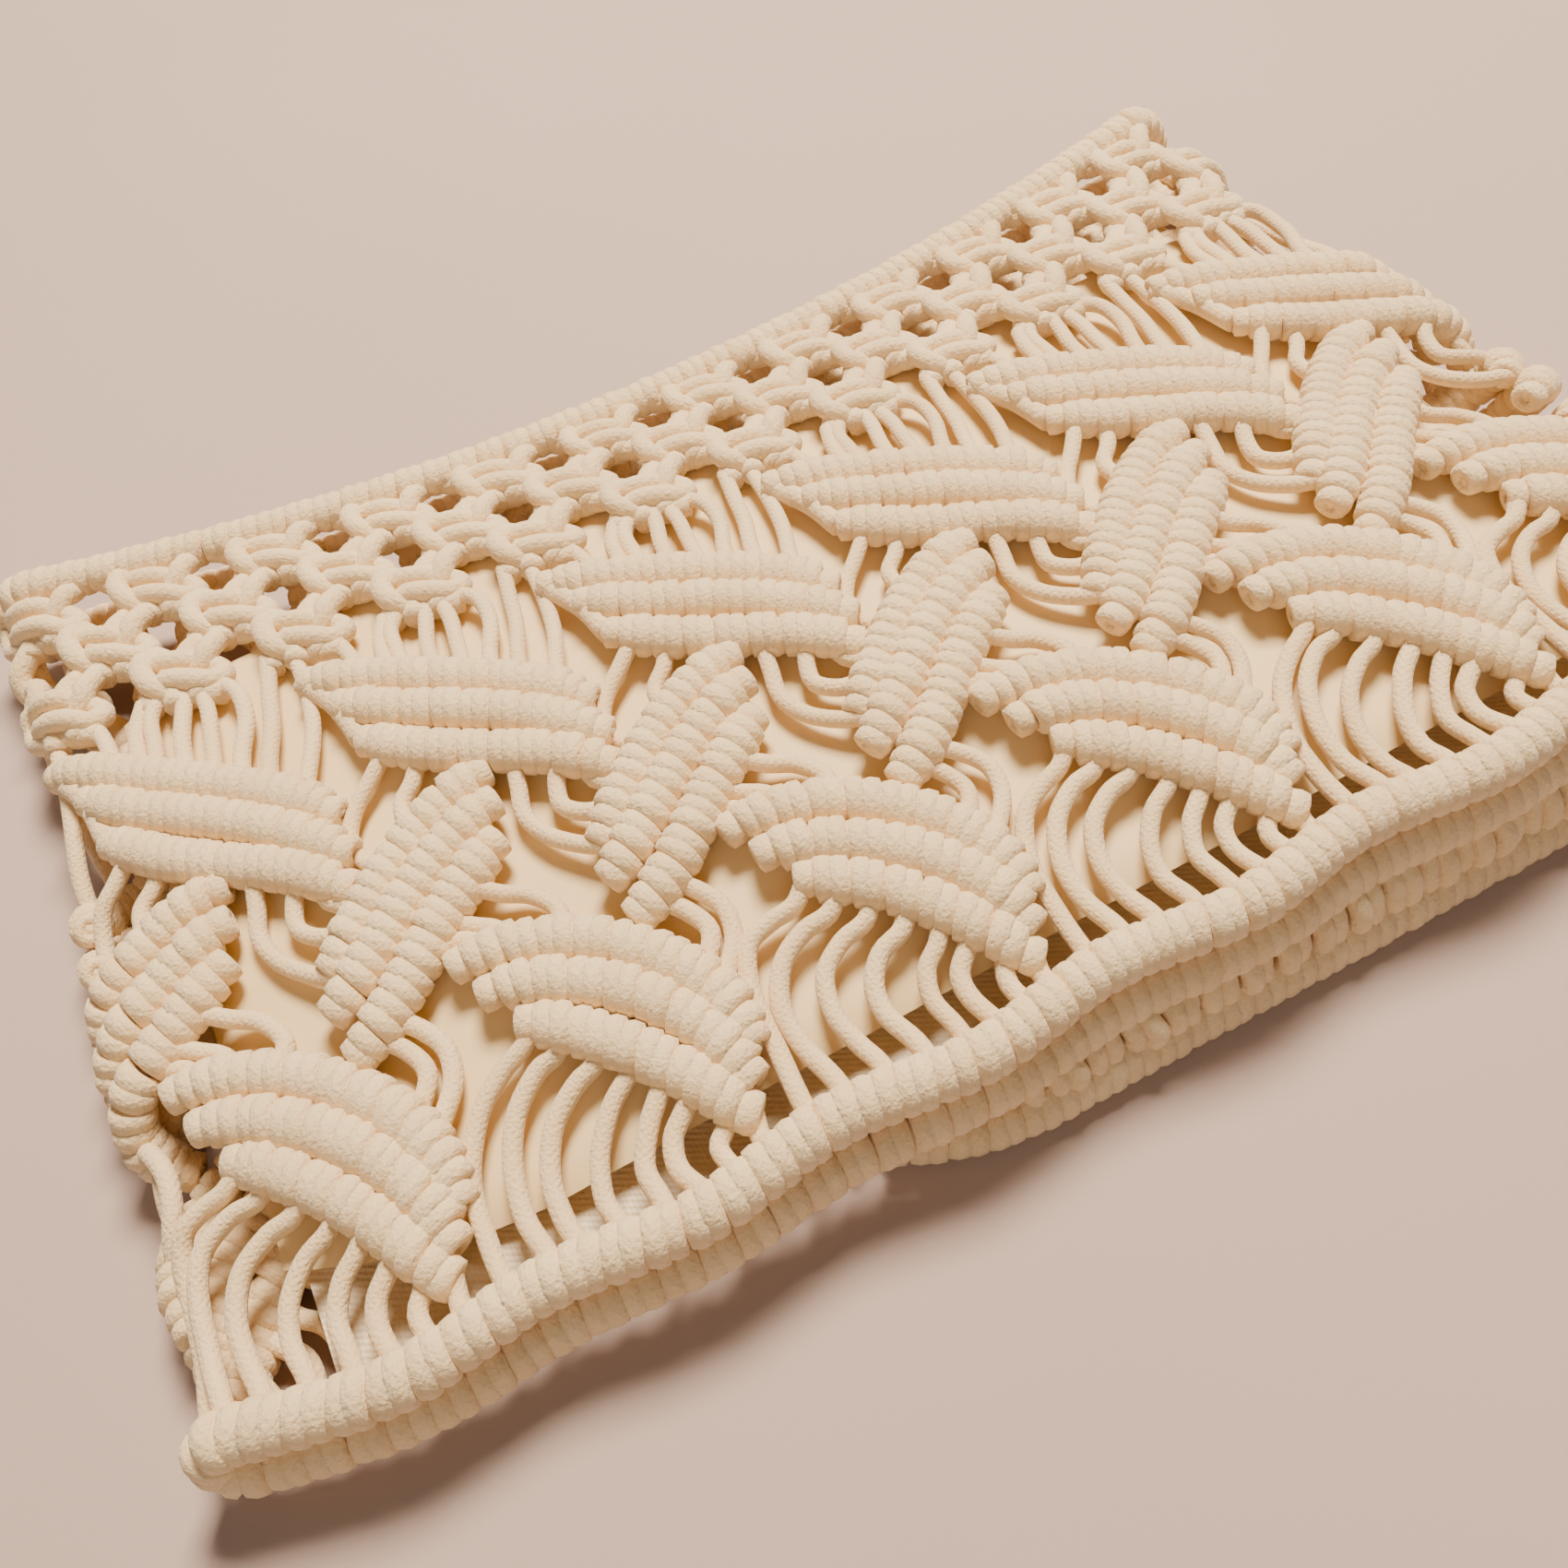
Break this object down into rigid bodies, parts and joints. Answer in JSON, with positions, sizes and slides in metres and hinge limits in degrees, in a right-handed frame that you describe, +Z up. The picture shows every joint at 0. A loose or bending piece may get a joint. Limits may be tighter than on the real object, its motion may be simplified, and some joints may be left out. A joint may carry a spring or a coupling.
{
  "type": "macrame bag",
  "caption": "Flat clutch bag of knotted cotton cord: a mouth rib, square knots, rows of leaf motifs and fans of cords over a flat lining.",
  "frame": {"origin": "middle of the bag's box, on the surface it lies on", "axes": "+X along the bag, +Y from the closed bottom edge to the mouth, +Z up from the back to the front"},
  "size_m": [0.283, 0.1954, 0.0303],
  "materials": {
    "cotton_cord": "matte",
    "lining_sheet": "matte",
    "satin_weave": "satin"
  },
  "bodies": {
    "root": {"front_net": "cotton_cord", "back_net": "cotton_cord", "front_knot_band": "cotton_cord", "back_knot_band": "cotton_cord", "mouth_rib_front": "cotton_cord", "mouth_rib_back": "cotton_cord", "bottom_rib_front": "cotton_cord", "bottom_rib_back": "cotton_cord", "gusset_rib": "cotton_cord", "gusset_cords": "cotton_cord", "lining_sheath": "lining_sheet", "backing_cloth": "satin_weave", "upper_leaf_01": "cotton_cord", "upper_leaf_02": "cotton_cord", "upper_leaf_03": "cotton_cord", "upper_leaf_04": "cotton_cord", "upper_leaf_05": "cotton_cord", "upper_leaf_06": "cotton_cord", "upper_leaf_07": "cotton_cord", "upper_leaf_08": "cotton_cord", "upper_leaf_09": "cotton_cord", "upper_leaf_10": "cotton_cord", "upper_leaf_11": "cotton_cord", "upper_leaf_12": "cotton_cord", "middle_leaf_01": "cotton_cord", "middle_leaf_02": "cotton_cord", "middle_leaf_03": "cotton_cord", "middle_leaf_04": "cotton_cord", "middle_leaf_05": "cotton_cord", "middle_leaf_06": "cotton_cord", "middle_leaf_07": "cotton_cord", "middle_leaf_08": "cotton_cord", "middle_leaf_09": "cotton_cord", "middle_leaf_10": "cotton_cord", "middle_leaf_11": "cotton_cord", "middle_leaf_12": "cotton_cord", "lower_leaf_01": "cotton_cord", "lower_leaf_02": "cotton_cord", "lower_leaf_03": "cotton_cord", "lower_leaf_04": "cotton_cord", "lower_leaf_05": "cotton_cord", "lower_leaf_06": "cotton_cord", "lower_leaf_07": "cotton_cord", "lower_leaf_08": "cotton_cord", "lower_leaf_09": "cotton_cord", "lower_leaf_10": "cotton_cord", "lower_leaf_11": "cotton_cord", "lower_leaf_12": "cotton_cord"}
  },
  "joints": []
}
